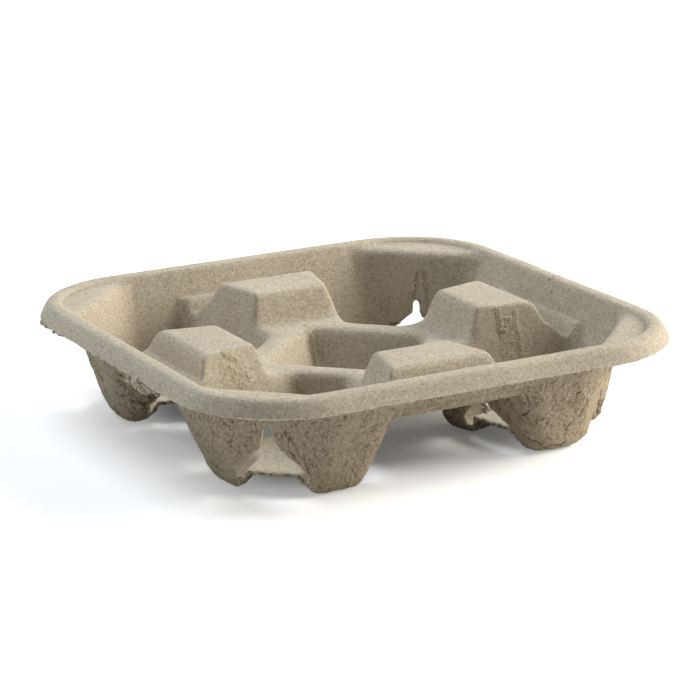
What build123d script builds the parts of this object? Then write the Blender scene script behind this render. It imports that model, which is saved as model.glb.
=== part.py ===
from build123d import *

import os
from math import atan, cos, degrees, hypot, radians, sin, sqrt, tan

# Sizes in mm, Z up; the origin is the centre of the tray on the plane of its feet

# Pulp wall and overall height
wall = 2.1
tray_height = 46.6

# Rim: rounded crest, with a lip that hangs outward and down, and flat corner lands inside
lip_drop = 7.1
lip_slope = 0.48
rim_corner_radius = 47.0
rim_round = 3.6
rim_inner_round = 1.8
crest_inner_radius = 37.0
land_height = 44.5
rim_breadth = 10.06
skirt_inset = 6.4
skirt_corner_radius = 40.0

# Side walls and corner walls: distance from the middle at ground level, lean per mm of height
side_wall_at_ground = 81.8
side_wall_lean = 0.355
corner_wall_at_ground = 100.9
corner_wall_lean = 0.2

# Overall size, from the side walls out over the rim
tray_size = 2 * (side_wall_at_ground + side_wall_lean * tray_height + rim_breadth)

# Cup wells: end walls toward the islands, inner wall toward the middle
end_wall_angle = 103.0
end_wall_at_ground = -20.95
end_wall_lean = 0.377
inner_wall_at_ground = -44.5
inner_wall_lean = 0.21
corner_wall_round = 18.0
end_wall_round = 13.0
inner_wall_round = 9.0
well_floor_height = 9.2

# Feet: pockets below the raised floor, which runs out to each window as a broad arm
arm_half_at_ground = 15.6
arm_lean = 0.5
well_middle = 56.0
end_window_reach = 66.7
foot_corner_round = 4.0
foot_bevel = 1.6

# Islands between the wells, and the pit around the middle
island_top = 43.9
island_outer_edge = 76.5
island_outer_lean = 0.39
island_inner_edge = 51.5
island_inner_lean = 0.34
island_round = 3.6
pit_floor_height = 30.5
pit_round = 4.0

# Trough between each island and the side wall
ledge_height = 35.0
channel_depth = 5.5
channel_inner_top = 81.9
channel_inner_floor = 85.2
channel_outer_floor = 88.6
channel_outer_top = 91.4
ledge_round = 1.8
channel_round = 2.0
trough_half_length = 46.0

# Middle recess, a square turned to point at the islands
recess_at_ground = 15.6
recess_lean = 0.394
recess_floor_height = 9.2
recess_corner_radius = 5.0

# Windows through the well walls: half widths and heights of slot, waist, hip and foot
near_window = [(1.2, 30.6, 1.1), (3.5, 20.5, 8.0), (11.9, 13.2, 8.0), (14.6, 9.6, 0)]
far_window = [(1.4, 22.5, 1.3), (1.8, 16.8, 5.0), (9.0, 10.6, 8.0), (13.0, 8.0, 0)]
end_window = [(1.3, 20.4, 1.2), (3.4, 18.8, 3.0), (9.8, 13.8, 10.0), (14.6, 9.4, 0)]
window_depth = 5.0

# Working margins that never show in the finished part
over = 6.0
clearance = 0.2
wall_overlap = 0.5
fillet_share = 0.42


def square_slope(lean):
    """Length along a leaning wall per mm of height."""
    return sqrt(1 + lean * lean)


def crossing(first, second):
    """Corner point of two wall lines, each given as direction and distance."""
    (a, p), (b, q) = first, second
    span = sin(radians(b - a))
    x = (p * sin(radians(b)) - q * sin(radians(a))) / span
    y = (q * cos(radians(a)) - p * cos(radians(b))) / span
    return (x, y)


def eased(points, wanted):
    """Wanted corner radii, each cut down to what the edges beside it leave room for."""
    radii = []
    for i, radius in enumerate(wanted):
        corner = Vector(*points[i])
        before = Vector(*points[i - 1]) - corner
        after = Vector(*points[(i + 1) % len(points)]) - corner
        room = min(before.length, after.length) * fillet_share
        radii.append(min(radius, room * tan(radians(before.get_angle(after)) / 2)))
    return radii


def walled(walls, bottom, top, grow):
    """Block between two heights and between walls that may lean."""
    reach = tray_size + over
    with BuildPart(mode=Mode.PRIVATE) as block:
        with Locations((0, 0, bottom)):
            Box(reach, reach, top - bottom, align=(Align.CENTER, Align.CENTER, Align.MIN))
        for direction, distance, lean in walls:
            across, along = cos(radians(direction)), sin(radians(direction))
            out = distance + grow * square_slope(lean)
            face = Plane(origin=(out * across, out * along, 0), z_dir=(across, along, -lean))
            split(bisect_by=face, keep=Keep.BOTTOM)
    return block.part


def well_walls():
    """Direction, distance and lean of the six walls of the near-left cup well."""
    side = side_wall_at_ground + wall_overlap
    return [
        (180.0, side, side_wall_lean),
        (225.0, corner_wall_at_ground, corner_wall_lean),
        (270.0, side, side_wall_lean),
        (90.0 - end_wall_angle, end_wall_at_ground, end_wall_lean),
        (45.0, inner_wall_at_ground, inner_wall_lean),
        (end_wall_angle, end_wall_at_ground, end_wall_lean),
    ]


def basin(bottom, grow):
    """Space inside the four side walls, which trims every hollow above it."""
    walls = [(90.0 * i, side_wall_at_ground, side_wall_lean) for i in range(4)]
    with BuildPart(mode=Mode.PRIVATE) as space:
        add(walled(walls, bottom, tray_height + over, grow))
        fillet(space.edges().filter_by(Plane.XY, reverse=True), crest_inner_radius + grow)
    return space.part


def well_tool(bottom, top, grow):
    """Hollow of the near-left cup well between two heights."""
    pad = wall - grow
    lines = [(a, d + s * pad + grow * square_slope(s)) for a, d, s in well_walls()]
    corners = [crossing(lines[i], lines[i - 1]) for i in range(len(lines))]
    outer, end, inner = (r + grow for r in (corner_wall_round, end_wall_round, inner_wall_round))
    radii = eased(corners, [end, outer, outer, end, inner, inner])
    with BuildPart(mode=Mode.PRIVATE) as tool:
        add(walled(well_walls(), bottom, top, grow))
        # Each pass rounds the two upright edges next farthest from the middle
        for step, radius in enumerate((radii[4], radii[0], radii[1])):
            upright = tool.edges().filter_by(Plane.XY, reverse=True)
            upright = upright.sort_by(lambda e: hypot(e.center().X, e.center().Y))
            fillet(upright[4 * step : 4 * step + 2], radius)
    return tool.part


def bevels(walls):
    """Planes that take off the bottom edge of each wall of a foot at 45 degrees."""
    return [(a, d + s * wall - foot_bevel - wall, 1.0) for a, d, s in walls]


def foot_pocket(flanks, grow):
    """One foot pocket of the near-left well, between two arms of the raised floor."""
    low = wall - grow
    top = well_floor_height - grow + clearance
    walls = [(direction, distance, arm_lean) for direction, distance in flanks]
    with BuildPart(mode=Mode.PRIVATE) as pocket:
        add(walled(walls, low, top, grow))
        upright = pocket.edges().filter_by(Plane.XY, reverse=True)
        fillet(upright.sort_by_distance((-well_middle, -well_middle, 0))[0], foot_corner_round + grow)
        add(well_tool(low, top, grow), mode=Mode.INTERSECT)
        add(basin(low, grow), mode=Mode.INTERSECT)
        add(walled(bevels(walls + well_walls()), low, top, grow), mode=Mode.INTERSECT)
    return pocket.part


def foot_pockets(grow):
    """The three foot pockets of the near-left well."""
    outer = -arm_half_at_ground
    beyond = -end_window_reach - arm_half_at_ground
    within = end_window_reach - arm_half_at_ground
    feet = [
        [(-45.0, outer), (end_wall_angle - 90.0, beyond)],
        [(135.0, outer), (180.0 - end_wall_angle, beyond)],
        [(end_wall_angle + 90.0, within), (-end_wall_angle, within)],
    ]
    return [foot_pocket(flanks, grow) for flanks in feet]


def island_section(grow):
    """Profile from the pit over one island and through the trough to the side wall."""
    top = tray_height + over
    floor = ledge_height - channel_depth
    inner_foot = island_inner_edge - island_inner_lean * (island_top - pit_floor_height)
    outer_foot = island_outer_edge + island_outer_lean * (island_top - ledge_height)
    points = [
        (0, pit_floor_height),
        (inner_foot, pit_floor_height),
        (island_inner_edge, island_top),
        (island_outer_edge, island_top),
        (outer_foot, ledge_height),
        (channel_inner_top, ledge_height),
        (channel_inner_floor, floor),
        (channel_outer_floor, floor),
        (channel_outer_top, ledge_height),
        (tray_size / 2, ledge_height),
        (tray_size / 2, top),
        (0, top),
    ]
    soft = [pit_round, island_round, island_round, ledge_round, ledge_round]
    soft += [channel_round, channel_round, ledge_round]
    with BuildPart(mode=Mode.PRIVATE) as cut:
        with BuildSketch(Plane.XZ.offset(-trough_half_length)):
            with BuildLine():
                FilletPolyline(*points, radius=eased(points, [0] + soft + [0, 0, 0]), close=True)
            make_face()
            if grow:
                offset(amount=grow, kind=Kind.INTERSECTION)
        extrude(amount=2 * trough_half_length)
    return cut.part


def recess(grow):
    """Hollow of the middle recess, a square turned to point at the islands."""
    walls = [(45.0 + 90.0 * i, recess_at_ground, recess_lean) for i in range(4)]
    with BuildPart(mode=Mode.PRIVATE) as hollow:
        add(walled(walls, recess_floor_height - grow, tray_height + over, grow))
        upright = hollow.edges().filter_by(Plane.XY, reverse=True)
        fillet(upright, recess_corner_radius + grow)
    return hollow.part


def hollows(grow):
    """Wells, troughs, pit and rim space, all trimmed by the side walls."""
    floor = well_floor_height - grow
    top = tray_height + over
    whole = (2 * tray_size, 2 * tray_size, 2 * over)
    with BuildPart(mode=Mode.PRIVATE) as space:
        with PolarLocations(0, 4):
            add(island_section(grow))
        with PolarLocations(0, 4):
            add(well_tool(floor, top, grow))
        with Locations((0, 0, land_height - grow)):
            Box(*whole, align=(Align.CENTER, Align.CENTER, Align.MIN))
        add(basin(floor, grow), mode=Mode.INTERSECT)
    return space.part


def form(grow):
    """Solid below the tray's upper surface, or below its under surface."""
    bottom = -over - grow
    spread = lip_slope * (tray_height - lip_drop - bottom)
    half = tray_size / 2 + spread - grow * square_slope(lip_slope)
    with BuildPart(mode=Mode.PRIVATE) as body:
        with BuildSketch(Plane.XY.offset(bottom)):
            RectangleRounded(2 * half, 2 * half, rim_corner_radius + spread - grow)
        extrude(amount=tray_height - grow - bottom, taper=degrees(atan(lip_slope)))
        if grow:
            chamfer(body.faces().sort_by(Axis.Z)[-1].edges(), rim_inner_round)
        else:
            fillet(body.faces().sort_by(Axis.Z)[-1].edges(), rim_round)
        add(hollows(grow), mode=Mode.SUBTRACT)
        with PolarLocations(0, 4):
            add(foot_pockets(grow), mode=Mode.SUBTRACT)
        add(recess(grow), mode=Mode.SUBTRACT)
    return body.part


def window(direction, distance, lean, shift, side):
    """Cutter for one bell-shaped window with a slot above it, square to its wall."""
    slope = square_slope(lean)
    across, along = cos(radians(direction)), sin(radians(direction))
    reach = distance - clearance
    origin = (reach * across - shift * along, reach * along + shift * across, 0)
    half, height, soft = zip(*side, (side[-1][0], -over, 0))
    right = [(x, z * slope) for x, z in zip(half, height)]
    points = right + [(-x, z) for x, z in reversed(right)]
    radii = eased(points, soft + soft[::-1])
    with BuildPart(mode=Mode.PRIVATE) as cutter:
        face = Plane(origin=origin, x_dir=(-along, across, 0), z_dir=(across, along, -lean))
        with BuildSketch(face):
            with BuildLine():
                FilletPolyline(*points, radius=radii, close=True)
            make_face()
        extrude(amount=window_depth)
    return cutter.part


def below_lip():
    """Everything outside the walls and below the bottom edge of the lip."""
    lip_height = tray_height - lip_drop
    whole = (2 * tray_size, 2 * tray_size, 2 * tray_size)
    skirt = tray_size - 2 * skirt_inset
    with BuildPart(mode=Mode.PRIVATE) as outside:
        with Locations((0, 0, lip_height)):
            Box(*whole, align=(Align.CENTER, Align.CENTER, Align.MAX))
        with BuildSketch(Plane.XY.offset(-over)):
            RectangleRounded(skirt, skirt, skirt_corner_radius)
        extrude(amount=tray_size, mode=Mode.SUBTRACT)
    return outside.part


mirror_angle = 90.0 - end_wall_angle
end_wall = (end_wall_at_ground, end_wall_lean)
corner_wall = (corner_wall_at_ground, corner_wall_lean)
os.makedirs("parts", exist_ok=True)

with BuildPart() as cup_carrier:
    add(form(0))
    add(form(wall), mode=Mode.SUBTRACT)
    add(below_lip(), mode=Mode.SUBTRACT)
    with PolarLocations(0, 4):
        add(window(end_wall_angle, *end_wall, end_window_reach, end_window), mode=Mode.SUBTRACT)
        add(window(mirror_angle, *end_wall, -end_window_reach, end_window), mode=Mode.SUBTRACT)
    with PolarLocations(0, 3, start_angle=-90, angular_range=270):
        add(window(45.0, *corner_wall, 0, far_window), mode=Mode.SUBTRACT)
    add(window(225.0, *corner_wall, 0, near_window), mode=Mode.SUBTRACT)

cup_carrier.part.label = "cup_carrier"
export_step(cup_carrier.part, "parts/cup_carrier.step")
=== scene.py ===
import math

import bmesh
import bpy
import numpy as np
from mathutils import Matrix, Vector


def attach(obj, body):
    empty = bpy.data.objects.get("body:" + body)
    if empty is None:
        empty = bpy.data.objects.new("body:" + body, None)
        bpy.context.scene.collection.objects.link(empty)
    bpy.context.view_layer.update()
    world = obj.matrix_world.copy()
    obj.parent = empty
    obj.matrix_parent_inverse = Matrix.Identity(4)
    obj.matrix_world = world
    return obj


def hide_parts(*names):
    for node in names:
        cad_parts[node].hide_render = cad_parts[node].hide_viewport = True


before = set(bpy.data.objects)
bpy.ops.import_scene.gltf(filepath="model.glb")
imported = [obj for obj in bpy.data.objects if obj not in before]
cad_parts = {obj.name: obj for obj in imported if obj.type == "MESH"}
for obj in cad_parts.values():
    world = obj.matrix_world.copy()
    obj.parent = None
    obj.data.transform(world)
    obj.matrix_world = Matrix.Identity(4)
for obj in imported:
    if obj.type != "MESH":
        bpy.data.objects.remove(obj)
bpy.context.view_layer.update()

MM = 0.001

# Sizes in mm, as in the solid: a wall is its distance and lean, a window its half widths and heights
TRAY_HEIGHT = 46.6
LIP_HEIGHT = 39.5
LIP_INSIDE = 103.5
HALF = 108.4
CORNER_CENTRE = 61.4
CORNER_WALL = (100.9, 0.2)
END_WALL = (-20.95, 0.377)
END_ANGLE = 103.0
END_REACH = 66.7
NEAR_WINDOW = ((0.6, 30.6), (1.2, 28.0), (3.5, 20.5), (11.9, 13.2), (14.6, 9.6), (14.6, -6.0))
FAR_WINDOW = ((1.0, 22.5), (1.6, 17.5), (9.0, 10.6), (13.0, 8.0), (13.0, -6.0))
END_WINDOW = ((1.3, 20.4), (3.4, 18.8), (9.8, 13.8), (14.6, 9.4), (14.6, -6.0))

# Middle and half of the cut that a window makes out through its wall, in mm
CUT_MIDDLE, CUT_HALF = 2.3, 2.5

# Mesh size in mm, the rounds of smoothing that suit a mesh of SMOOTHED_VOXEL, and each round's share
VOXEL = 0.73
SMOOTHED_VOXEL = 0.7
SMOOTH_ROUNDS = 7
FOLD_ROUNDS = 22
SMOOTH_SHARE = 0.9

# Numbers in window_places of the windows whose slot shows as a worn band, and of the one that crumbs fill
NEAR_LEFT_SLOT, FAR_RIGHT_SLOT, FAR_LEFT_SLOT = 0, 4, 9
CRUMBED_SLOT = 3

# Distance and aim of the lamps in m, then turn and rise in degrees, size in m, watts and colour of each
LAMP_DISTANCE = 1.5
LAMP_AIM = (0.0, 0.0, 0.02)
LAMPS = (
    ("key", -18.0, 25.0, 1.1, 38.0, (1.06, 1.0, 0.91)),
    ("back", 110.0, 57.0, 1.2, 20.0, (0.93, 1.0, 1.06)),
    ("left", 180.0, 16.0, 0.8, 3.5, (1.0, 1.0, 1.0)),
)

# Floor in m: half its side, its drop under the tray, and half the side of the square that glows least
FLOOR_HALF, FLOOR_DROP, DIM_HALF = 6, 0.0004, 0.045

# Glow of the floor in that square and beyond it, and what is added in front of the tray: painted shadow
# under the tray and painted light in front of it
DIM_GLOW, OUTER_GLOW, FRONT_GLOW = 0.1, 0.34, 0.2

# Camera of the photo: turn, rise and roll in degrees, what it looks at and its distance in mm, and lens
CAMERA_TURN, CAMERA_RISE, CAMERA_ROLL = -28.123, 16.055, -1.057
CAMERA_AIM = (-28.378, -54.259, TRAY_HEIGHT)
CAMERA_DISTANCE = 1105.42
CAMERA_LENS = 145.02


def smooth_step(low, high, value):
    """Smooth change from 0 to 1 while the value goes from low to high."""
    t = np.clip((value - low) / (high - low), 0.0, 1.0)
    return t * t * (3.0 - 2.0 * t)


def lattice(ix, iy, iz, seed):
    """Repeatable number from 0 to 1 for each lattice point."""
    h = (ix * 374761393 + iy * 668265263 + iz * 2147483647 + seed * 974634777) & 0xFFFFFFFF
    h = ((h ^ (h >> 13)) * 1274126177) & 0xFFFFFFFF
    h = ((h ^ (h >> 16)) * 2246822519) & 0xFFFFFFFF
    return ((h ^ (h >> 15)) & 0xFFFFFF) / float(0xFFFFFF)


def per_axis(make):
    """Three columns, one for each axis."""
    return np.stack([make(k) for k in range(3)], axis=1)


def noise(points, size, seed):
    """Smooth noise from -1 to 1 whose lumps are about one size across."""
    p = points / size
    base = np.floor(p).astype(np.int64)
    f = p - base
    f = f * f * (3.0 - 2.0 * f)
    total = np.zeros(len(points))
    for dx in (0, 1):
        wx = f[:, 0] if dx else 1.0 - f[:, 0]
        for dy in (0, 1):
            wy = f[:, 1] if dy else 1.0 - f[:, 1]
            for dz in (0, 1):
                wz = f[:, 2] if dz else 1.0 - f[:, 2]
                total += wx * wy * wz * lattice(base[:, 0] + dx, base[:, 1] + dy, base[:, 2] + dz, seed)
    return total * 2.0 - 1.0


def layered(points, size, seed, layers=3):
    """Noise with finer layers on it, each half as large and half as strong as the one before."""
    total = np.zeros(len(points))
    share = 1.0
    for i in range(layers):
        total += share * noise(points, size / 2.0 ** i, seed + 17 * i)
        share *= 0.5
    return total


def window_places():
    """Direction, wall, shift along the wall and profile of each window."""
    places = []
    for i in range(4):
        places.append((END_ANGLE + 90.0 * i, END_WALL, END_REACH, END_WINDOW))
        places.append((90.0 - END_ANGLE + 90.0 * i, END_WALL, -END_REACH, END_WINDOW))
        places.append((225.0 + 90.0 * i, CORNER_WALL, 0.0, FAR_WINDOW if i else NEAR_WINDOW))
    return places


def in_wall(points, place):
    """Each point's distance along a window's wall from its middle line, and out through the wall."""
    angle, (distance, lean), shift, _ = place
    a = math.radians(angle)
    out = points[:, 0] * math.cos(a) + points[:, 1] * math.sin(a)
    side = -points[:, 0] * math.sin(a) + points[:, 1] * math.cos(a) - shift
    return side, (out - distance - lean * points[:, 2]) / math.hypot(1.0, lean)


def window_distance(points):
    """Distance in mm from the nearest window cut."""
    nearest = np.full(len(points), 99.0)
    z = points[:, 2]
    for place in window_places():
        side, depth = in_wall(points, place)
        heights = np.array([h for _, h in place[3]][::-1])
        halves = np.array([w for w, _ in place[3]][::-1])
        across = np.maximum(np.abs(side) - np.interp(z, heights, halves), 0.0)
        above = np.maximum(z - heights[-1], 0.0)
        through = np.maximum(np.abs(depth - CUT_MIDDLE) - CUT_HALF, 0.0)
        nearest = np.minimum(nearest, np.sqrt(across ** 2 + above ** 2 + through ** 2))
    return nearest


# Cracks seen in the photo, as chains of points in mm: half width, depth, then the chain
CRACKS = (
    (0.20, 0.15, ((1.1, 39.4, 30.0), (0.0, 33.9, 25.1), (-0.3, 30.8, 19.3), (-0.6, 28.5, 15.0))),
    (0.45, 0.60, ((54.0, -93.6, 26.7), (52.6, -93.1, 25.4))),
    (0.55, 0.75, ((59.3, -90.2, 21.3), (58.1, -89.9, 18.9), (57.2, -89.4, 16.9), (56.2, -89.0, 14.8))),
    (0.40, 0.50, ((56.2, -89.0, 14.8), (51.0, -88.1, 11.3), (50.3, -87.2, 9.2))),
    (0.50, 0.65, ((36.1, -81.8, 7.0), (36.9, -82.6, 6.3), (39.3, -84.3, 5.6), (41.3, -84.1, 4.0),
                  (42.9, -83.2, 1.7))),
    (0.50, 0.65, ((42.9, -83.2, 1.7), (45.9, -85.0, 3.3), (50.6, -84.0, 2.0), (52.2, -85.7, 4.6))),
    (0.40, 0.45, ((29.0, -78.5, 10.0), (32.0, -79.2, 8.6), (34.5, -79.4, 7.4))),
    (0.40, 0.45, ((30.4, -90.3, 27.7), (32.4, -89.8, 24.2), (32.6, -89.2, 22.4))),
    (0.35, 0.40, ((33.4, -91.0, 24.1), (36.4, -92.4, 24.6))),
    (0.45, 0.50, ((33.4, -88.6, 20.6), (32.9, -86.9, 19.1), (32.3, -84.5, 17.6))),
    (0.25, 0.25, ((60.3, -19.1, 41.8), (60.9, -20.2, 38.2), (59.6, -22.2, 34.0), (60.2, -24.0, 28.5),
                  (59.1, -25.8, 24.1))),
    (0.25, 0.25, ((67.7, -21.4, 40.4), (66.8, -23.2, 36.5), (67.3, -24.8, 31.4), (66.4, -28.2, 22.3))),
    (0.20, 0.25, ((76.1, 76.3, 34.7), (75.5, 76.3, 30.0), (74.1, 76.0, 24.8))),
    (0.20, 0.25, ((78.4, 74.3, 35.4), (78.2, 73.0, 30.0), (77.5, 71.5, 23.0))),
    (0.30, 0.35, ((-66.4, -20.3, 42.0), (-64.2, -20.4, 41.2), (-62.0, -20.9, 39.6), (-60.8, -21.3, 39.3))),
    (0.30, 0.35, ((-65.8, -22.0, 37.0), (-63.6, -22.4, 35.6), (-64.4, -23.6, 32.0), (-61.2, -24.7, 27.8))),
    (0.30, 0.35, ((-39.8, -92.9, 25.3), (-38.4, -92.6, 23.6), (-38.8, -91.8, 22.0))),
    (0.35, 0.45, ((-47.2, -87.7, 10.7), (-45.2, -86.9, 8.4), (-43.6, -85.8, 5.5))),
    (0.25, 0.30, ((-73.0, -82.0, 29.0), (-70.5, -82.6, 25.5), (-67.0, -83.4, 21.5))),
    (0.35, 0.40, ((-66.3, -86.4, 23.6), (-64.6, -87.2, 21.5))),
    (0.35, 0.40, ((-65.6, -84.8, 17.4), (-63.2, -84.8, 10.5), (-58.6, -83.9, 3.8))),
    (0.35, 0.35, ((-89.8, -60.6, 20.0), (-88.8, -61.4, 17.6), (-87.8, -61.6, 15.9))),
    (0.35, 0.35, ((-87.4, -47.9, 9.1), (-86.9, -50.4, 8.1), (-85.9, -56.3, 7.2))),
    (0.35, 0.35, ((-90.9, -45.8, 18.2), (-89.4, -47.0, 14.5))),
)
# Torn places on the lip's edge, at -X or -Y: which, where along it in mm, half length, how ragged
TORN_LIP = (("x", -25.0, 9.0, 1.5), ("x", 8.0, 30.0, 0.7), ("x", 66.0, 11.0, 0.6), ("y", -48.0, 4.0, 0.8),
            ("y", 11.0, 5.0, 0.8), ("y", 50.0, 5.0, 0.7))


def crack_lines(points):
    """Depth in mm of the single cracks at each point, and distance from the nearest, less if it is wide."""
    depth = np.zeros(len(points))
    distance = np.full(len(points), 2.0)
    wander = per_axis(lambda k: noise(points, 2.6, 311 + k)) * 0.45
    for half, deep, chain in CRACKS:
        chain = np.array(chain)
        low, high = chain.min(axis=0) - 3.0, chain.max(axis=0) + 3.0
        near = np.flatnonzero(np.all((points > low) & (points < high), axis=1))
        if not len(near):
            continue
        p = points[near] + wander[near]
        nearest = np.full(len(near), 9.0)
        for a, b in zip(chain[:-1], chain[1:]):
            t = np.clip((p - a) @ (b - a) / ((b - a) @ (b - a)), 0.0, 1.0)
            nearest = np.minimum(nearest, np.linalg.norm(p - a - t[:, None] * (b - a), axis=1))
        line = 1.0 - smooth_step(0.0, half + 0.6, nearest)
        depth[near] = np.maximum(depth[near], deep * line)
        distance[near] = np.minimum(distance[near], nearest + 1.2 * (0.5 - half))
    return depth, distance


def squeezed_band(points, number, half):
    """How far each point is in the band where one window's slot is squeezed shut above it."""
    side, depth = in_wall(points, window_places()[number])
    z = points[:, 2]
    side = side - 0.2 + 0.35 * half * noise(points, 6.0, 241)
    band = smooth_step(20.0, 22.0, z) * smooth_step(42.0, 37.0, z) * (np.abs(depth - 1.0) < 3.0)
    return band * (1.0 - smooth_step(0.6 * half, 1.4 * half, np.abs(side)))


def lip_tears(points):
    """How ragged the lip's lower edge is at each point."""
    ragged = np.full(len(points), 0.12)
    for side, middle, half, much in TORN_LIP:
        along, across = (points[:, 1], -points[:, 0]) if side == "x" else (points[:, 0], -points[:, 1])
        here = (1.0 - smooth_step(half * 0.6, half, np.abs(along - middle))) * (across > 90.0)
        ragged = np.maximum(ragged, much * here)
    return ragged


# The tray's skin: the solid's form, remeshed finely enough to take the pulp's relief
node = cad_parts["cup_carrier"]
raw = node.data.copy()
work = bpy.data.objects.new("skin_work", raw)
bpy.context.scene.collection.objects.link(work)
remesh = work.modifiers.new("even", "REMESH")
remesh.mode = "VOXEL"
remesh.voxel_size = VOXEL * MM
remesh.adaptivity = 0.0
bpy.context.view_layer.update()
even = bpy.data.meshes.new_from_object(work.evaluated_get(bpy.context.evaluated_depsgraph_get()))
bpy.data.objects.remove(work)

count = len(even.vertices)
co = np.empty(count * 3)
even.vertices.foreach_get("co", co)
co = co.reshape(-1, 3) / MM
edges = np.empty(len(even.edges) * 2, dtype=np.int32)
even.edges.foreach_get("vertices", edges)
edges = edges.reshape(-1, 2)
loops = np.empty(len(even.loops), dtype=np.int32)
even.loops.foreach_get("vertex_index", loops)
quads = loops.reshape(-1, 4) if len(loops) == 4 * len(even.polygons) else None
bpy.data.meshes.remove(even)
if quads is None:
    raise SystemExit("the even mesh has faces that aren't quads")

degree = np.bincount(edges.ravel(), minlength=count).astype(float)


def spread(values):
    """Each point's mean over its neighbours."""
    out = np.empty_like(values)
    for k in range(values.shape[1]):
        sums = np.bincount(edges[:, 0], weights=values[edges[:, 1], k], minlength=count)
        sums += np.bincount(edges[:, 1], weights=values[edges[:, 0], k], minlength=count)
        out[:, k] = sums / degree
    return out


def normals_of(points):
    """Outward normal at each point."""
    p = [points[quads[:, i]] for i in range(4)]
    face = np.cross(p[2] - p[0], p[3] - p[1])
    out = np.zeros((count, 3))
    for i in range(4):
        for k in range(3):
            out[:, k] += np.bincount(quads[:, i], weights=face[:, k], minlength=count)
    return out / np.maximum(np.linalg.norm(out, axis=1, keepdims=True), 1e-9)


# Soften the folds of the wall, but keep free edges where they are
height = co[:, 2]
reach = np.maximum(np.abs(co[:, 0]), np.abs(co[:, 1]))
least = np.minimum(np.abs(co[:, 0]), np.abs(co[:, 1]))
corner = np.clip(least - CORNER_CENTRE, 0.0, None)
rounded = np.hypot(corner, np.clip(reach - CORNER_CENTRE, 0.0, None)) + CORNER_CENTRE
outward = np.where(corner > 0, rounded, reach)
on_lip = smooth_step(98.5, 101.0, outward)
lip_edge = np.hypot(height - LIP_HEIGHT, np.maximum(LIP_INSIDE - outward, 0.0))
torn_edge = window_distance(co)
free = np.minimum(torn_edge, lip_edge)
hold = smooth_step(0.3, 2.6, free)
hold *= 1.0 - 0.6 * on_lip * smooth_step(38.0, 41.0, height)
hold = np.maximum(hold, smooth_step(5.0, 2.0, height))
fold = smooth_step(24.0, 27.5, height) * smooth_step(35.5, 32.5, height) * smooth_step(79.0, 75.0, outward)
land = smooth_step(40.5, 42.5, height) * smooth_step(52.0, 60.0, least) * smooth_step(99.0, 96.0, outward)
fold = np.maximum(fold, land)
fold = np.maximum(fold, smooth_step(6.0, 3.0, height))
finer = (SMOOTHED_VOXEL / VOXEL) ** 2
soft = co.copy()
for _ in range(int(round(SMOOTH_ROUNDS * finer))):
    soft += hold[:, None] * SMOOTH_SHARE * (spread(soft) - soft)
for _ in range(int(round(FOLD_ROUNDS * finer))):
    soft += (hold * fold)[:, None] * SMOOTH_SHARE * (spread(soft) - soft)
normal = normals_of(soft)

# Upper faces are smooth from the screen; under faces are rough, wrinkled and cracked
facing = normal[:, 2:3].copy()
for _ in range(3):
    facing = spread(facing)
rough = 1.0 - smooth_step(-0.12, 0.1, facing[:, 0])
rough = np.where(outward > 99.0, rough * smooth_step(41.5, 38.0, height), rough)
edge = 1.0 - smooth_step(0.2, 1.6, torn_edge)
rag = 1.0 - smooth_step(0.2, 2.2, lip_edge)
line_depth, line_distance = crack_lines(soft)
band = squeezed_band(soft, FAR_RIGHT_SLOT, 3.0)
worn = np.maximum(0.3 * band, 0.6 * (1.0 - smooth_step(0.8, 2.2, line_distance)))
worn = np.maximum(worn, 0.4 * squeezed_band(soft, NEAR_LEFT_SLOT, 7.0))
worn = np.maximum(worn, 0.3 * squeezed_band(soft, FAR_LEFT_SLOT, 8.0))

warp = per_axis(lambda k: noise(soft, 7.0, 900 + k))
wide = layered(soft, 28.0, 11, 2)
lumps = layered(soft + 1.5 * warp, 6.0, 31, 3)
grain = layered(soft, 1.9, 51, 2)
patch = smooth_step(-0.35, 0.35, layered(soft, 24.0, 71, 2))
flow = (soft + 2.2 * warp) * np.array([1.0, 1.0, 0.5])
strokes = 1.0 - smooth_step(0.0, 0.11, np.abs(layered(flow, 5.5, 101, 2)))
fine_strokes = 1.0 - smooth_step(0.0, 0.16, np.abs(layered(flow, 3.2, 131, 2)))
broken = smooth_step(-0.1, 0.35, layered(soft, 5.0, 161, 2))
fold_lines = 1.0 - 2.0 * np.abs(layered(flow + 5.0, 3.4, 171, 2))

scarred = rough * (0.55 + 0.45 * patch)
crack = scarred * np.maximum(0.9 * strokes * broken, 0.5 * fine_strokes * (1.0 - broken) * patch)
crumbs = np.abs(layered(soft, 1.7, 211, 2))
relief = 0.13 * wide + rough * 0.16 * lumps + (1.0 - rough) * 0.03 * lumps
relief += (0.02 + 0.06 * rough) * grain + 0.28 * scarred * fold_lines
relief += band * (0.75 * crumbs - 0.1)
relief -= 0.4 * crack + 0.5 * line_depth
moved = soft + normal * relief[:, None]
jag = per_axis(lambda k: layered(soft, 3.0, 201 + k, 3))
fine_jag = per_axis(lambda k: layered(soft, 1.3, 221 + k, 2))
moved += fine_jag * (0.22 * edge * smooth_step(3.0, 7.0, height))[:, None]
moved += (0.6 * jag + 0.5 * fine_jag) * (lip_tears(soft) * rag)[:, None]
moved[:, 2] = np.clip(moved[:, 2], 0.0, TRAY_HEIGHT)
moved[:, :2] = np.clip(moved[:, :2], -HALF, HALF)
normal = normals_of(moved)

# The well floors' cut faces, seen through the windows, get painted shade where they face sideways or down
under = np.zeros(count)
for place in window_places():
    side_way, depth_way = in_wall(soft, place)
    here = (np.abs(side_way) < 12.3) & (np.abs(depth_way - 1.0) < 4.0) & (height > 4.0) & (height < 12.5)
    under = np.maximum(under, here * smooth_step(0.55, 0.2, normal[:, 2]))
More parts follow.
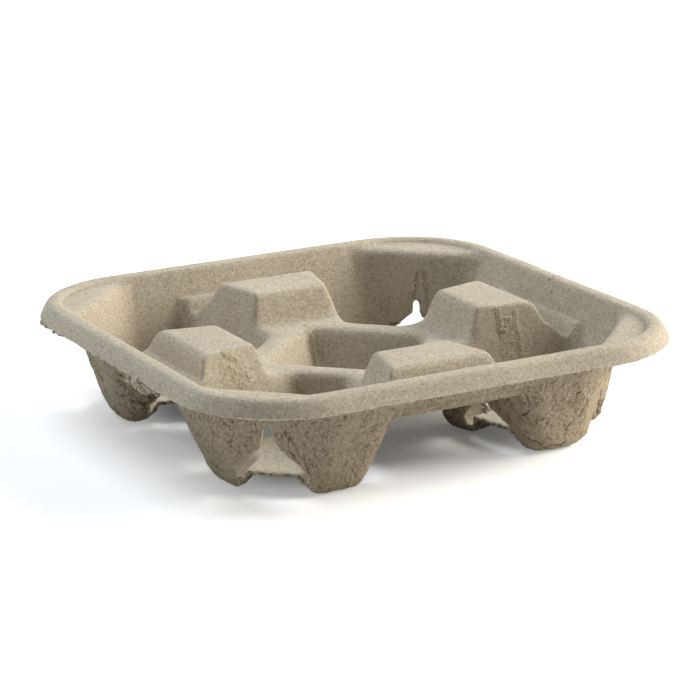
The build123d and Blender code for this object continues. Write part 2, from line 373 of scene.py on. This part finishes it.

# Hollows of the relief, for painted shade in the creases
hollow = moved.copy()
for _ in range(4):
    hollow = spread(hollow)
cavity = ((hollow - moved) * normal).sum(axis=1)
cavity = np.clip(cavity / 0.12, -1.0, 1.0)


def mark(mesh, **marks_of):
    """Gives a mesh one value for each point under each name."""
    for label, values in marks_of.items():
        layer = mesh.attributes.new(label, "FLOAT", "POINT")
        layer.data.foreach_set("value", values.astype(np.float32))


# Four quarters, in the order of the angle round the tray
PARTS = ("pulp_far_right", "pulp_far_left", "pulp_near_left", "pulp_near_right")
centre = moved[quads].mean(axis=1)
sector = ((np.degrees(np.arctan2(centre[:, 1], centre[:, 0])) % 360.0) // 90.0).astype(int)
pieces = []
for index, name in enumerate(PARTS):
    mine = quads[sector == index]
    used, local = np.unique(mine, return_inverse=True)
    local = local.reshape(-1, 4)
    mesh = bpy.data.meshes.new(name)
    mesh.from_pydata((moved[used] * MM).tolist(), [], local.tolist())
    mesh.polygons.foreach_set("use_smooth", np.ones(len(local), dtype=bool))
    mark(mesh, rough=np.maximum(rough, worn)[used], crack=crack[used], cavity=cavity[used],
         torn=np.maximum(edge, rag)[used], split=line_distance[used], under=under[used])
    mesh.update()
    mesh.normals_split_custom_set_from_vertices(normal[used].tolist())
    piece = bpy.data.objects.new(name, mesh)
    bpy.context.scene.collection.objects.link(piece)
    pieces.append(piece)


def crumb_places():
    """Centre and radius of each crumb of torn pulp, in mm."""
    rng = np.random.default_rng(7)
    crumbs = []
    for y in np.arange(-41.0, -12.0, 0.8):
        out = 106.9 - 2.4 * rng.random()
        spot = (-out, y + rng.random(), 39.4 - 3.4 * rng.random() ** 1.5)
        crumbs.append((spot, 0.6 + 0.9 * rng.random()))
    for y in np.arange(-32.0, -20.0, 0.5):
        spot = (-106.4 + 1.2 * rng.random(), y, 38.6 - 3.0 * rng.random())
        crumbs.append((spot, 0.8 + 0.9 * rng.random()))
    for middle, reach in ((-47.5, 2.0), (11.0, 3.2), (50.5, 2.4)):
        for _ in range(5):
            x = middle + reach * (2.0 * rng.random() - 1.0)
            spot = (x, -107.0 + 0.8 * rng.random(), 39.4 - 0.6 * rng.random())
            crumbs.append((spot, 0.45 + 0.3 * rng.random()))
    for y in np.arange(50.0, 76.0, 1.4):
        spot = (-106.6 + 1.2 * rng.random(), y, 39.4 - 1.2 * rng.random())
        crumbs.append((spot, 0.5 + 0.5 * rng.random()))
    angle, (distance, lean), shift, _ = window_places()[CRUMBED_SLOT]
    a = math.radians(angle)
    for z in np.arange(13.4, 21.8, 0.55):
        side, out = shift + 1.1 * (2.0 * rng.random() - 1.0), distance + lean * z + 0.9
        x = out * math.cos(a) - side * math.sin(a)
        y = out * math.sin(a) + side * math.cos(a)
        crumbs.append(((x, y, z), 0.7 + 0.5 * rng.random()))
    return crumbs


# Crumbs of torn pulp that hang on the lip and fill one slot
ball = bmesh.new()
bmesh.ops.create_icosphere(ball, subdivisions=3, radius=1.0)
ball_points = np.array([v.co[:] for v in ball.verts])
ball_faces = np.array([[v.index for v in f.verts] for f in ball.faces])
ball.free()
all_points, all_faces = [], []
for number, (centre_point, radius) in enumerate(crumb_places()):
    bumps = 1.0 + 0.45 * layered(ball_points * 1.3 + 9.0 * number, 1.1, 401, 2)
    grown = np.array(centre_point) + ball_points * bumps[:, None] * radius * np.array([1.0, 1.25, 0.8])
    grown = np.clip(grown, (-HALF, -HALF, 0.0), (HALF, HALF, TRAY_HEIGHT))
    all_faces.append(ball_faces + len(ball_points) * number)
    all_points.append(grown)
all_points, all_faces = np.concatenate(all_points), np.concatenate(all_faces)
mesh = bpy.data.meshes.new("pulp_crumbs")
mesh.from_pydata((all_points * MM).tolist(), [], all_faces.tolist())
mesh.polygons.foreach_set("use_smooth", np.ones(len(all_faces), dtype=bool))
ones = np.ones(len(all_points))
mark(mesh, rough=ones, crack=0.0 * ones, cavity=0.0 * ones, torn=ones, split=2.0 * ones, under=0.0 * ones)
crumbs_piece = bpy.data.objects.new("pulp_crumbs", mesh)
bpy.context.scene.collection.objects.link(crumbs_piece)
pieces.append(crumbs_piece)

# Pulp: warm grey-beige fibre felt with dark specks and paler torn edges, with painted shade in its creases,
# cracks and cut faces and on faces that point down
pulp = bpy.data.materials.new("pulp")
pulp.use_nodes = True
tree = pulp.node_tree
tree.nodes.clear()


def add(kind, **values):
    """New node in the tree that is being built."""
    n = tree.nodes.new(kind)
    for key, value in values.items():
        setattr(n, key, value)
    return n


def link(a, b):
    tree.links.new(a, b)


def noise_node(scale, detail=4.0, rough_share=0.6, stretch=None):
    """Noise in the tray's own space, stretched by a scale and a turn if given."""
    n = add("ShaderNodeTexNoise")
    n.inputs["Scale"].default_value = scale
    n.inputs["Detail"].default_value = detail
    n.inputs["Roughness"].default_value = rough_share
    if stretch:
        m = add("ShaderNodeMapping")
        m.inputs["Scale"].default_value = stretch[0]
        m.inputs["Rotation"].default_value = stretch[1]
        link(coords.outputs["Object"], m.inputs["Vector"])
        link(m.outputs["Vector"], n.inputs["Vector"])
    else:
        link(coords.outputs["Object"], n.inputs["Vector"])
    return n.outputs["Fac"]


def ramp(source, stops):
    """Colour for a value, by stops of place and colour."""
    r = add("ShaderNodeValToRGB")
    while len(r.color_ramp.elements) < len(stops):
        r.color_ramp.elements.new(0.5)
    for element, (place, colour) in zip(r.color_ramp.elements, stops):
        element.position = place
        element.color = (*colour, 1.0)
    link(source, r.inputs["Fac"])
    return r.outputs["Color"]


def mix(kind, share, a, b):
    """Blend of two colours, each a value or a socket, by a share that is a number or a socket."""
    m = add("ShaderNodeMix", data_type="RGBA", blend_type=kind)
    if isinstance(share, float):
        m.inputs["Factor"].default_value = share
    else:
        link(share, m.inputs["Factor"])
    for value, place in ((a, 6), (b, 7)):
        if isinstance(value, tuple):
            m.inputs[place].default_value = (*value, 1.0)
        else:
            link(value, m.inputs[place])
    return m.outputs[2]


def maths(kind, a, b=None, clamp=False):
    """Result of one sum on numbers or sockets."""
    m = add("ShaderNodeMath", operation=kind, use_clamp=clamp)
    for place, value in ((0, a), (1, b)):
        if value is None:
            continue
        if isinstance(value, (int, float)):
            m.inputs[place].default_value = value
        else:
            link(value, m.inputs[place])
    return m.outputs[0]


coords = add("ShaderNodeTexCoord")
marks = {}
for label in ("rough", "crack", "cavity", "torn", "split", "under"):
    a = add("ShaderNodeAttribute")
    a.attribute_name = label
    marks[label] = a.outputs["Fac"]


def step(source, low, high, first=0.0, last=1.0):
    """Smooth change from first to last while the source goes from low to high."""
    r = add("ShaderNodeMapRange", interpolation_type="SMOOTHSTEP")
    r.inputs["From Min"].default_value = low
    r.inputs["From Max"].default_value = high
    r.inputs["To Min"].default_value = first
    r.inputs["To Max"].default_value = last
    link(source, r.inputs["Value"])
    return r.outputs["Result"]


def flowing(scale, detail, bend, place, squeeze):
    """Noise drawn out along the wall's height, with its lines bent by coarser noise."""
    wave = add("ShaderNodeTexNoise")
    wave.inputs["Scale"].default_value = scale * 0.7
    wave.inputs["Detail"].default_value = 1.0
    link(coords.outputs["Object"], wave.inputs["Vector"])
    shift = add("ShaderNodeVectorMath", operation="SCALE")
    shift.inputs["Scale"].default_value = bend / scale
    link(wave.outputs["Color"], shift.inputs[0])
    bent = add("ShaderNodeVectorMath", operation="ADD")
    link(coords.outputs["Object"], bent.inputs[0])
    link(shift.outputs["Vector"], bent.inputs[1])
    m = add("ShaderNodeMapping")
    m.inputs["Location"].default_value = (place, place * 0.7, 0.0)
    m.inputs["Scale"].default_value = (1.0, 1.0, squeeze)
    link(bent.outputs["Vector"], m.inputs["Vector"])
    n = add("ShaderNodeTexNoise")
    n.inputs["Scale"].default_value = scale
    n.inputs["Detail"].default_value = detail
    n.inputs["Roughness"].default_value = 0.5
    link(m.outputs["Vector"], n.inputs["Vector"])
    return maths("ABSOLUTE", maths("SUBTRACT", n.outputs["Fac"], 0.5))


tone = ramp(noise_node(30.0, 5.0), [(0.32, (0.458, 0.411, 0.33)), (0.68, (0.52, 0.468, 0.378))])
fleck = noise_node(2100.0, 2.0, 0.7)
mottle = noise_node(700.0, 3.0, 0.65)
fibre_a = noise_node(1000.0, 3.0, 0.6, ((1.0, 0.34, 1.0), (0.9, 0.3, 0.8)))
fibre_b = noise_node(1000.0, 3.0, 0.6, ((0.34, 1.0, 0.7), (0.5, 1.0, -0.7)))
fibres = maths("MULTIPLY", fibre_a, fibre_b)
tone = mix("OVERLAY", 0.38, tone, ramp(fleck, [(0.25, (0.1, 0.1, 0.1)), (0.75, (0.9, 0.9, 0.9))]))
tone = mix("OVERLAY", 0.22, tone, ramp(mottle, [(0.3, (0.25, 0.24, 0.22)), (0.7, (0.75, 0.75, 0.75))]))
tone = mix("OVERLAY", 0.3, tone, ramp(fibres, [(0.1, (0.22, 0.2, 0.18)), (0.42, (0.78, 0.78, 0.78))]))
specks = ramp(noise_node(560.0, 2.0, 0.5), [(0.28, (1.0, 1.0, 1.0)), (0.33, (0.0, 0.0, 0.0))])
tone = mix("MULTIPLY", 0.5, tone, mix("MIX", specks, (1.0, 1.0, 1.0), (0.5, 0.4, 0.3)))
# Painted shade: faces that point down get a warmer, darker tone; on the worn bands and beside the cracks
# the same tone stands for wear
tone = mix("MULTIPLY", marks["rough"], tone, (0.96, 0.915, 0.84))

scar = step(noise_node(55.0, 3.0), 0.38, 0.56, 0.4, 1.0)
scar = maths("MULTIPLY", scar, marks["rough"], True)
break_up = step(noise_node(260.0, 2.0), 0.42, 0.56)
wrinkles = maths("MULTIPLY", step(flowing(260.0, 2.0, 0.5, 0.0, 0.5), 0.0, 0.03, 1.0, 0.0), break_up)
fine_break = step(noise_node(420.0, 2.0), 0.47, 0.6)
fine_wrinkles = step(flowing(520.0, 2.0, 0.5, 0.013, 0.55), 0.0, 0.045, 1.0, 0.0)
fine_wrinkles = maths("MULTIPLY", fine_wrinkles, fine_break)
cuts = maths("MULTIPLY", maths("MAXIMUM", wrinkles, maths("MULTIPLY", fine_wrinkles, 0.6)), scar)
folds = maths("MULTIPLY", maths("SUBTRACT", 0.35, flowing(430.0, 3.0, 0.6, 0.04, 0.5)), scar)
crack_shade = step(marks["crack"], 0.35, 0.8)

# Painted shade: the hollows of the relief are darkened
hollow_shade = maths("MAXIMUM", marks["cavity"], 0.0)
tone = mix("MULTIPLY", maths("MULTIPLY", hollow_shade, 0.4, True), tone, (0.5, 0.42, 0.33))
# Painted shade: cracks, wrinkle lines and splits are darkened, as shade falls in them
tone = mix("MULTIPLY", maths("MULTIPLY", crack_shade, 0.75, True), tone, (0.34, 0.26, 0.18))
tone = mix("MULTIPLY", maths("MULTIPLY", cuts, 0.8, True), tone, (0.3, 0.22, 0.15))
frayed = maths("ADD", marks["split"], maths("MULTIPLY", noise_node(900.0, 2.0), 0.5))
split_shade = step(frayed, 0.45, 0.85, 1.0, 0.0)
tone = mix("MULTIPLY", maths("MULTIPLY", split_shade, 0.85, True), tone, (0.22, 0.16, 0.11))
# Painted shade on the well floors' cut faces
tone = mix("MULTIPLY", maths("MULTIPLY", marks["under"], 0.8, True), tone, (0.42, 0.34, 0.25))
pale = maths("MULTIPLY", step(marks["torn"], 0.55, 0.95), step(noise_node(500.0, 2.0), 0.35, 0.6))
tone = mix("MIX", maths("MULTIPLY", pale, 0.7, True), tone, (0.75, 0.67, 0.52))

roughened = maths("ADD", maths("MULTIPLY", marks["rough"], 0.9), 0.7)
bump_height = maths("ADD", maths("MULTIPLY", fleck, 0.22), maths("MULTIPLY", fibres, 0.34))
bump_height = maths("ADD", bump_height, maths("MULTIPLY", mottle, 0.2))
bump_height = maths("MULTIPLY", bump_height, roughened)
bump_height = maths("ADD", bump_height, maths("MULTIPLY", folds, 2.2))
bump_height = maths("SUBTRACT", bump_height, maths("MULTIPLY", cuts, 0.35))
bump = add("ShaderNodeBump")
bump.inputs["Strength"].default_value = 1.0
bump.inputs["Distance"].default_value = 0.001
link(bump_height, bump.inputs["Height"])

skin = add("ShaderNodeBsdfPrincipled")
skin.inputs["Roughness"].default_value = 0.93
skin.inputs["Specular IOR Level"].default_value = 0.05
link(tone, skin.inputs["Base Color"])
link(bump.outputs["Normal"], skin.inputs["Normal"])
result = add("ShaderNodeOutputMaterial")
link(skin.outputs["BSDF"], result.inputs["Surface"])

for piece in pieces:
    piece.data.materials.append(pulp)
    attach(piece, "root")
    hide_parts("cup_carrier")

# Pale floor that keeps the shadow, with a camera-only glow that brings it near the photo's
floor_mesh = bpy.data.meshes.new("floor")
sides = ((-1, -1), (1, -1), (1, 1), (-1, 1))
floor_mesh.from_pydata([(x * FLOOR_HALF, y * FLOOR_HALF, 0) for x, y in sides], [], [(0, 1, 2, 3)])
floor = bpy.data.objects.new("floor", floor_mesh)
floor.location.z = -FLOOR_DROP
bpy.context.scene.collection.objects.link(floor)
paper = bpy.data.materials.new("floor")
paper.use_nodes = True
tree = paper.node_tree
tree.nodes.clear()
rays = add("ShaderNodeLightPath")
lit = add("ShaderNodeBsdfDiffuse")
lit.inputs["Color"].default_value = (0.86, 0.86, 0.87, 1.0)
glow = add("ShaderNodeEmission")
glow.inputs["Color"].default_value = (1.0, 1.0, 1.0, 1.0)
here = add("ShaderNodeNewGeometry")
outside = here.outputs["Position"]
within = (DIM_HALF, DIM_HALF, 1.0)
for operation, value in (("ABSOLUTE", None), ("SUBTRACT", within), ("MAXIMUM", (0.0, 0.0, 0.0))):
    part = add("ShaderNodeVectorMath", operation=operation)
    link(outside, part.inputs[0])
    if value:
        part.inputs[1].default_value = value
    outside = part.outputs["Vector"]
apart = add("ShaderNodeVectorMath", operation="LENGTH")
link(outside, apart.inputs[0])
split = add("ShaderNodeSeparateXYZ")
link(here.outputs["Position"], split.inputs["Vector"])
# Painted shadow and light: the camera-only glow is least under the tray, grows around it and is strongest
# in front of it
painted_shadow_glow = step(apart.outputs["Value"], 0.012, 0.036, DIM_GLOW, OUTER_GLOW)
painted_front_light = step(split.outputs["Y"], -0.11, -0.075, FRONT_GLOW, 0.0)
level = maths("ADD", painted_shadow_glow, painted_front_light)
link(maths("MULTIPLY", rays.outputs["Is Camera Ray"], level), glow.inputs["Strength"])
both = add("ShaderNodeAddShader")
link(lit.outputs["BSDF"], both.inputs[0])
link(glow.outputs["Emission"], both.inputs[1])
result = add("ShaderNodeOutputMaterial")
link(both.outputs["Shader"], result.inputs["Surface"])
floor_mesh.materials.append(paper)

# Soft even sky, white to the camera
world = bpy.data.worlds.new("studio")
bpy.context.scene.world = world
world.use_nodes = True
tree = world.node_tree
tree.nodes.clear()
rays = add("ShaderNodeLightPath")
fill = add("ShaderNodeBackground")
fill.inputs["Color"].default_value = (1.0, 1.0, 1.0, 1.0)
fill.inputs["Strength"].default_value = 0.02
white = add("ShaderNodeBackground")
white.inputs["Color"].default_value = (1.0, 1.0, 1.0, 1.0)
white.inputs["Strength"].default_value = 1.0
choose = add("ShaderNodeMixShader")
link(rays.outputs["Is Camera Ray"], choose.inputs["Fac"])
link(fill.outputs["Background"], choose.inputs[1])
link(white.outputs["Background"], choose.inputs[2])
result = add("ShaderNodeOutputWorld")
link(choose.outputs["Shader"], result.inputs["Surface"])


def lamp(name, place, size, watts, colour):
    """Square lamp that points at the tray."""
    data = bpy.data.lights.new(name, "AREA")
    data.shape = "SQUARE"
    data.size = size
    data.energy = watts
    data.color = colour
    obj = bpy.data.objects.new(name, data)
    bpy.context.scene.collection.objects.link(obj)
    obj.location = place
    obj.rotation_euler = (Vector(LAMP_AIM) - Vector(place)).to_track_quat("-Z", "Y").to_euler()


for name, turn, rise, size, watts, colour in LAMPS:
    a, e = math.radians(turn), math.radians(rise)
    toward = (math.cos(a) * math.cos(e), math.sin(a) * math.cos(e), math.sin(e))
    lamp(name, [LAMP_DISTANCE * v for v in toward], size, watts, colour)

# Camera at the photograph's angle
azimuth, elevation, roll = (math.radians(v) for v in (CAMERA_TURN, CAMERA_RISE, CAMERA_ROLL))
right = Vector((math.cos(azimuth), math.sin(azimuth), 0.0))
level_out = math.cos(elevation)
back = Vector((math.sin(azimuth) * level_out, -math.cos(azimuth) * level_out, math.sin(elevation)))
up = back.cross(right)
right_rolled = math.cos(roll) * right + math.sin(roll) * up
up_rolled = -math.sin(roll) * right + math.cos(roll) * up
place = back * CAMERA_DISTANCE * MM + Vector(CAMERA_AIM) * MM
lens = bpy.data.cameras.new("camera")
lens.sensor_fit = "HORIZONTAL"
lens.sensor_width = 36.0
lens.lens = CAMERA_LENS
lens.clip_start = 0.05
lens.clip_end = 20.0
camera = bpy.data.objects.new("camera", lens)
bpy.context.scene.collection.objects.link(camera)
pose = Matrix((right_rolled, up_rolled, back)).transposed().to_4x4()
pose.translation = place
camera.matrix_world = pose
bpy.context.scene.camera = camera

bpy.context.scene.view_settings.view_transform = "Standard"
